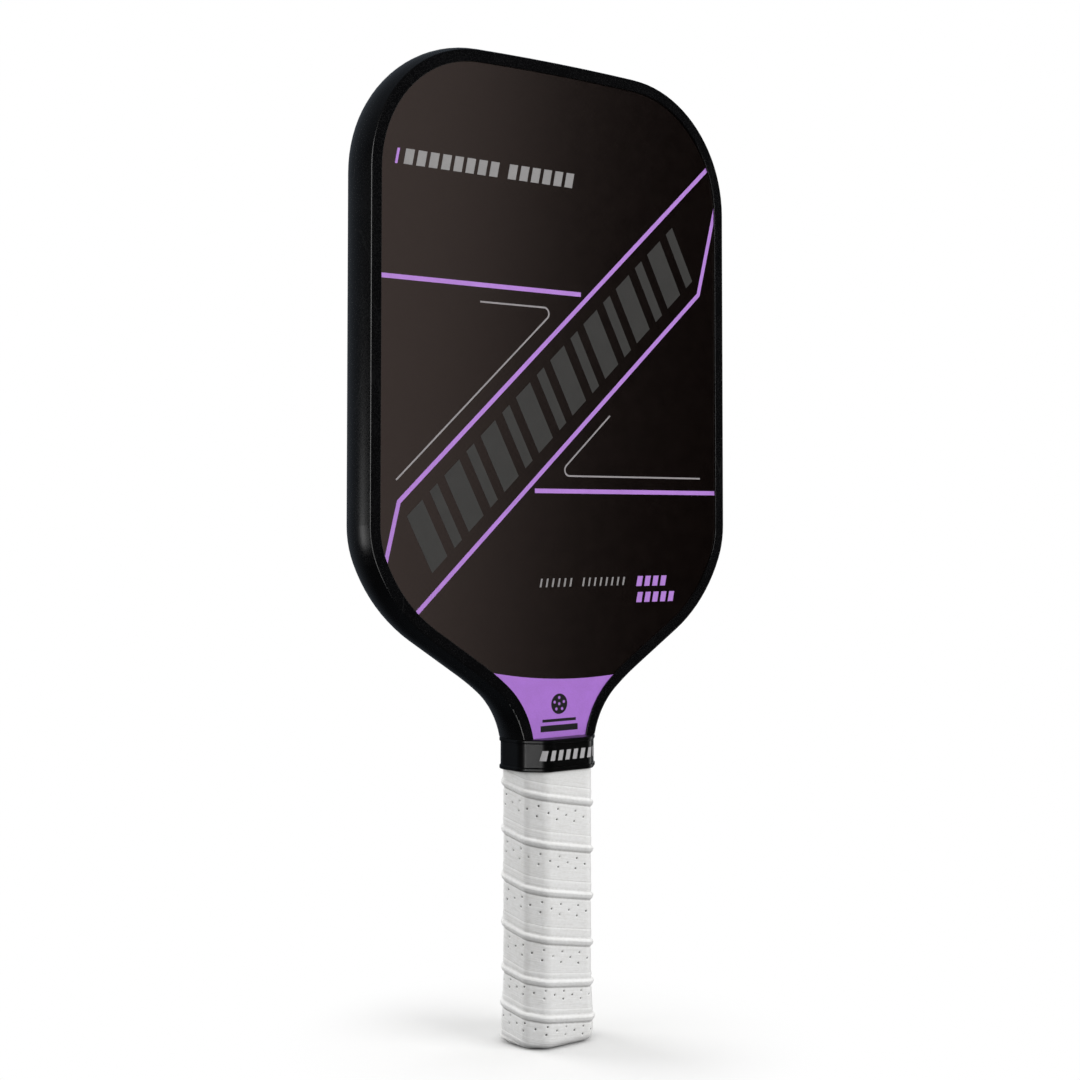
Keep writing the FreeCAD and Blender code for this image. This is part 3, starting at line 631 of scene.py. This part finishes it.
FACE_LAYERS = tuple(both_faces("face_sheet", "violet_stripes", "fine_lines", "slanted_blocks", "dash_rows",
                               "throat_film", "throat_emblem"))
SOFTBOXES = [
    # name, azimuth and height of its middle, distance, width, height, strength and what its gloss shows on
    ("front_key", 22.0, 0.75, 1.7, 1.2, 1.3, 4.9, ()),
    ("left_fill", -100.0, 0.45, 1.5, 1.2, 1.3, 1.8, ()),
    ("right_fill", 95.0, 0.45, 1.6, 1.0, 1.4, 1.6, ()),
    ("back_key", 202.0, 0.75, 1.7, 1.2, 1.3, 4.0, ()),
    ("front_sheen", 13.0, 0.45, 1.7, 1.44, 2.9, 1.05, FACE_LAYERS),
    ("back_sheen", 157.0, 0.30, 1.7, 2.40, 3.2, 1.05, FACE_LAYERS),
    ("wall_strip", -116.0, 0.00, 1.6, 0.42, 0.50, 3.9, ("edge_guard",)),
    ("crease_strip", -54.0, 0.55, 1.5, 0.75, 0.95, 8.0, ("edge_guard",)),
    ("low_crease_strip", -54.0, -0.42, 1.5, 0.95, 0.98, 4.5, ("edge_guard",)),
    ("right_strip", 82.0, 0.00, 1.6, 0.60, 2.0, 1.6, ("edge_guard", "grip_collar")),
    ("back_strip", 140.0, 0.00, 1.6, 0.50, 2.0, 1.2, ("edge_guard", "grip_collar")),
    ("collar_strip", -58.0, 0.05, 0.8, 0.18, 0.14, 11.0, ("grip_collar",)),
]
AIM = Vector((0, 0, 0.2))
OVERHEAD_WIDTH = 2.2
OVERHEAD_HEIGHT = 2.0
OVERHEAD_STRENGTH = 1.05
FLOOR_HALF = 40.0
SHADOW_REACH = (0.03, 0.12)
FLOOR_DIM = (0.16, 0.16, 0.16, 1)
WHITE = (1, 1, 1, 1)
COOL_WHITE = (0.72, 0.84, 1.0, 1)
MATT_GLOW = 0.30
VIEW_ASIDE = 0.00313
SENSOR_WIDTH = 36.0
LENS_SHIFT = -0.0149


def area_light(name, width, tall, strength, location):
    """A rectangular light that the camera doesn't see; strength is the brightness of its surface."""
    data = bpy.data.lights.new(name, "AREA")
    data.shape = "RECTANGLE"
    data.size = width
    data.size_y = tall
    data.energy = strength * math.pi * width * tall
    lamp = bpy.data.objects.new(name, data)
    lamp.location = location
    lamp.visible_camera = False
    bpy.context.scene.collection.objects.link(lamp)
    return lamp


def softbox(name, azimuth, height, distance, width, tall, strength, shows_on):
    """A light that faces the paddle. It lights matt surfaces alone or, where nodes are named, is seen in
    their gloss alone."""
    turn = math.radians(azimuth)
    lamp = area_light(name, width, tall, strength,
                      (math.sin(turn) * distance, -math.cos(turn) * distance, height))
    lamp.rotation_euler = (lamp.location - AIM).to_track_quat("Z", "Y").to_euler()
    lamp.visible_glossy = bool(shows_on)
    lamp.visible_diffuse = not shows_on
    if shows_on:
        receivers = bpy.data.collections.new(f"{name}_receivers")
        for node in shows_on:
            receivers.objects.link(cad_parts[node])
        lamp.light_linking.receiver_collection = receivers


def overhead_softbox():
    """A light straight above, for matt surfaces alone."""
    lamp = area_light("overhead_softbox", OVERHEAD_WIDTH, OVERHEAD_WIDTH, OVERHEAD_STRENGTH,
                      (0.0, 0.0, OVERHEAD_HEIGHT))
    lamp.visible_glossy = False


def floor_material(settings):
    """Paper with the shadow near the foot, plain white further off, and dim to all but the camera."""
    made = bpy.data.materials.new("floor_paper")
    made.use_nodes = True
    tree = made.node_tree
    tree.nodes.clear()
    sheet = Sheet(tree)
    path = sheet.node("ShaderNodeLightPath").outputs
    place = sheet.node("ShaderNodeTexCoord").outputs["Object"]
    reach = sheet.node("ShaderNodeVectorMath", {0: place}, operation="LENGTH").outputs["Value"]
    far = sheet.ramp(reach, *SHADOW_REACH)
    white = sheet.node("ShaderNodeBsdfDiffuse", {"Color": opaque(settings.floor_color)}).outputs[0]
    glow = sheet.node("ShaderNodeEmission", {"Color": WHITE, "Strength": 1.0}).outputs[0]
    seen = sheet.node("ShaderNodeMixShader", {0: far, 1: white, 2: glow}).outputs[0]
    dim = sheet.node("ShaderNodeBsdfDiffuse", {"Color": FLOOR_DIM}).outputs[0]
    either = sheet.node("ShaderNodeMixShader", {0: path["Is Camera Ray"], 1: dim, 2: seen}).outputs[0]
    sheet.node("ShaderNodeOutputMaterial", {"Surface": either})
    return made


def studio_world():
    """White to the camera, a little light for matt surfaces and, in reflections, a dim cool glow from high
    behind and from below."""
    world = bpy.data.worlds.new("studio_world")
    world.use_nodes = True
    tree = world.node_tree
    tree.nodes.clear()
    sheet = Sheet(tree)
    path = sheet.node("ShaderNodeLightPath").outputs
    direction = sheet.node("ShaderNodeTexCoord").outputs["Generated"]
    way = sheet.node("ShaderNodeSeparateXYZ", {0: direction}).outputs
    behind = sheet.ramp(sheet.math("MULTIPLY_ADD", way[2], 0.5, way[1]), 0.25, 1.1, 0.004, 0.17)
    below = sheet.ramp(way[2], -1.0, -0.6, 0.06, 0.0)
    in_gloss = sheet.math("MULTIPLY", sheet.math("ADD", behind, below), path["Is Glossy Ray"])
    level = sheet.math("MULTIPLY_ADD", path["Is Diffuse Ray"], MATT_GLOW, in_gloss)
    seen = sheet.math("MAXIMUM", level, path["Is Camera Ray"])
    tint = sheet.mix(path["Is Glossy Ray"], WHITE, COOL_WHITE)
    back = sheet.node("ShaderNodeBackground", {"Color": tint, "Strength": seen}).outputs[0]
    sheet.node("ShaderNodeOutputWorld", {"Surface": back})
    return world


# ---------- operators ----------

class PaddleStage(bpy.types.Operator):
    """Sets the floor, the light and the camera"""
    bl_idname = "paddle.stage"
    bl_label = "Studio stage"

    def execute(self, context):
        settings = context.scene.paddle_stage
        mesh = bpy.data.meshes.new("floor")
        corners = [(x * FLOOR_HALF, y * FLOOR_HALF, 0) for x, y in ((-1, -1), (1, -1), (1, 1), (-1, 1))]
        mesh.from_pydata(corners, [], [(0, 1, 2, 3)])
        mesh.materials.append(floor_material(settings))
        floor = bpy.data.objects.new("floor", mesh)
        context.scene.collection.objects.link(floor)
        floor.visible_glossy = False
        for row in SOFTBOXES:
            softbox(*row)
        overhead_softbox()
        context.scene.world = studio_world()
        context.scene.view_settings.view_transform = "Standard"
        camera = bpy.data.objects.new("camera", bpy.data.cameras.new("camera"))
        turn = settings.view_turn
        ahead = Vector((math.sin(turn), math.cos(turn), 0))
        right = Vector((math.cos(turn), -math.sin(turn), 0))
        lift = Vector((0, 0, settings.view_height))
        camera.location = -ahead * settings.view_distance - right * VIEW_ASIDE + lift
        camera.rotation_euler = (math.radians(90), 0, -turn)
        camera.data.lens = settings.lens
        camera.data.sensor_width = SENSOR_WIDTH
        camera.data.shift_y = LENS_SHIFT
        camera.data.clip_start = 0.01
        context.scene.collection.objects.link(camera)
        context.scene.camera = camera
        return {"FINISHED"}


class PaddlePanelSheets(bpy.types.Operator):
    """Gives the two carbon face sheets their gritty finish"""
    bl_idname = "paddle.panel_sheets"
    bl_label = "Face sheets"

    def execute(self, context):
        dress(carbon_finish(finish_settings()), *both_faces("face_sheet"))
        return {"FINISHED"}


class PaddleCore(bpy.types.Operator):
    """Finishes the honeycomb core and the glue round and over it"""
    bl_idname = "paddle.core"
    bl_label = "Core and glue"

    def execute(self, context):
        dress(grained("honeycomb_plastic_finish", (0.62, 0.63, 0.60), (0.50, 0.52, 0.50), roughness=0.45,
                      constants={"Subsurface Weight": 0.1}), "honeycomb_core")
        dress(grained("glue_film_finish", (0.55, 0.42, 0.20), (0.40, 0.28, 0.12), roughness=0.3),
              *both_faces("glue_film"))
        dress(grained("edge_glue_finish", (0.48, 0.40, 0.26), (0.34, 0.27, 0.16), roughness=0.35),
              "edge_guard_glue")
        return {"FINISHED"}


class PaddleEdgeGuard(bpy.types.Operator):
    """Gives the edge guard its smooth black plastic with light scuffs"""
    bl_idname = "paddle.edge_guard"
    bl_label = "Edge guard"

    def execute(self, context):
        color = finish_settings().guard_color
        dress(grained("guard_plastic_finish", color, tuple(2.0 * channel for channel in color), amount=0.6,
                      roughness=0.27, spread=0.12, scale=1500.0, bump=0.05, depth=0.02, rubs=0.2,
                      constants={"Specular IOR Level": 0.32}), "edge_guard")
        return {"FINISHED"}


class PaddlePrints(bpy.types.Operator):
    """Gives the printed layers their inks and films"""
    bl_idname = "paddle.prints"
    bl_label = "Printed layers"

    def execute(self, context):
        colors = finish_settings()

        def ink(name, color, roughness):
            darker = tuple(0.82 * channel for channel in color)
            return grained(name, color, darker, amount=0.6, roughness=roughness, spread=0.2, scale=2400.0,
                           bump=0.15, depth=0.03)

        dress(ink("violet_ink_finish", colors.violet, 0.42), *both_faces("violet_stripes"))
        dress(ink("throat_film_finish", colors.film_violet, 0.42), *both_faces("throat_film"))
        dress(ink("silver_ink_finish", colors.silver, 0.40), *both_faces("fine_lines"))
        dress(ink("grey_ink_finish", colors.block_grey, 0.48), *both_faces("slanted_blocks"))
        dress(ink("dash_ink_finish", colors.dash_grey, 0.45), *both_faces("dash_rows"))
        dress(ink("emblem_ink_finish", (0.0035, 0.0025, 0.0045), 0.50), *both_faces("throat_emblem"))
        dress(ink("collar_ink_finish", (0.50, 0.49, 0.50), 0.45), "collar_marks")
        return {"FINISHED"}


class PaddleCollar(bpy.types.Operator):
    """Gives the collar its black rubber"""
    bl_idname = "paddle.collar"
    bl_label = "Collar"

    def execute(self, context):
        color = finish_settings().collar_color
        dress(grained("collar_rubber_finish", color, tuple(1.8 * channel for channel in color), amount=0.5,
                      roughness=0.33, spread=0.15, scale=1200.0, bump=0.12, depth=0.04, rubs=0.15,
                      constants={"Specular IOR Level": 0.4}), "grip_collar")
        return {"FINISHED"}


class PaddleHandleInside(bpy.types.Operator):
    """Finishes the foam shells and the two tapes inside the handle"""
    bl_idname = "paddle.handle_inside"
    bl_label = "Handle shells and tapes"

    def execute(self, context):
        dress(grained("shell_foam_finish", (0.055, 0.055, 0.058), (0.095, 0.095, 0.10), amount=0.9,
                      roughness=0.75, spread=0.2, scale=1400.0, bump=0.5, depth=0.15),
              *both_faces("handle_shell"))
        dress(grained("adhesive_tape_finish", (0.62, 0.58, 0.48), (0.50, 0.46, 0.36), roughness=0.35),
              "grip_adhesive_tape")
        dress(grained("finish_tape_finish", (0.012, 0.012, 0.013), (0.03, 0.03, 0.032), roughness=0.45),
              "grip_finish_tape")
        return {"FINISHED"}


class PaddleButtEnd(bpy.types.Operator):
    """Finishes the butt cap, its staples and the plain badge"""
    bl_idname = "paddle.butt_end"
    bl_label = "Butt end"

    def execute(self, context):
        dress(grained("cap_plastic_finish", (0.012, 0.012, 0.013), (0.026, 0.026, 0.028), roughness=0.42,
                      spread=0.18, scale=1300.0, bump=0.25, depth=0.05, rubs=0.5), "butt_cap")
        dress(grained("staple_steel_finish", (0.55, 0.55, 0.56), (0.42, 0.41, 0.40), roughness=0.28,
                      spread=0.2, constants={"Metallic": 1.0}), "butt_cap_staples")
        dress(grained("badge_vinyl_finish", (0.40, 0.17, 0.62), (0.30, 0.12, 0.48), roughness=0.35,
                      spread=0.15), "butt_badge")
        return {"FINISHED"}


class PaddleGripWrap(bpy.types.Operator):
    """Winds the white perforated strip with its raised bead round the handle"""
    bl_idname = "paddle.grip_wrap"
    bl_label = "Grip wrap"

    def execute(self, context):
        settings = context.scene.paddle_wrap
        finish = wrap_finish(finish_settings(), settings.hole_radius)
        piece = settle("wound_grip_wrap", bare_wrap(), winding_tree(), {
            "Finish": finish, "Bead Proud": settings.bead_proud, "Hole Radius": settings.hole_radius,
            "Hole Depth": settings.hole_depth, "Wrinkle Depth": settings.wrinkle_depth})
        if not piece.data.materials:
            raise RuntimeError("the wrap came out with no finish")
        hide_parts("grip_wrap")
        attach(piece, "root")
        return {"FINISHED"}


class PaddleSidebar(bpy.types.Panel):
    """Lists the paddle's makers and settings"""
    bl_idname = "VIEW3D_PT_paddle"
    bl_label = "Pickleball paddle"
    bl_space_type = "VIEW_3D"
    bl_region_type = "UI"
    bl_category = "Paddle"

    def draw(self, context):
        for step in STEPS:
            self.layout.operator(step.bl_idname)
        for group in (context.scene.paddle_finish, context.scene.paddle_wrap, context.scene.paddle_stage):
            box = self.layout.box()
            for name in group.__annotations__:
                box.prop(group, name)


STEPS = (PaddleStage, PaddleCore, PaddlePanelSheets, PaddlePrints, PaddleEdgeGuard, PaddleHandleInside,
         PaddleButtEnd, PaddleGripWrap, PaddleCollar)
SETTINGS = {"paddle_finish": PaddleFinishSettings, "paddle_wrap": PaddleWrapSettings,
            "paddle_stage": PaddleStageSettings}
CLASSES = (*SETTINGS.values(), *STEPS, PaddleSidebar)


def register():
    for item in CLASSES:
        bpy.utils.register_class(item)
    for name, group in SETTINGS.items():
        setattr(bpy.types.Scene, name, bpy.props.PointerProperty(type=group))


def unregister():
    for name in SETTINGS:
        delattr(bpy.types.Scene, name)
    for item in reversed(CLASSES):
        bpy.utils.unregister_class(item)


def main():
    register()
    make_effects()
    bpy.ops.paddle.stage()
    bpy.ops.paddle.core()
    bpy.ops.paddle.panel_sheets()
    bpy.ops.paddle.prints()
    bpy.ops.paddle.edge_guard()
    bpy.ops.paddle.handle_inside()
    bpy.ops.paddle.butt_end()
    bpy.ops.paddle.grip_wrap()
    bpy.ops.paddle.collar()


if __name__ == "__main__":
    main()
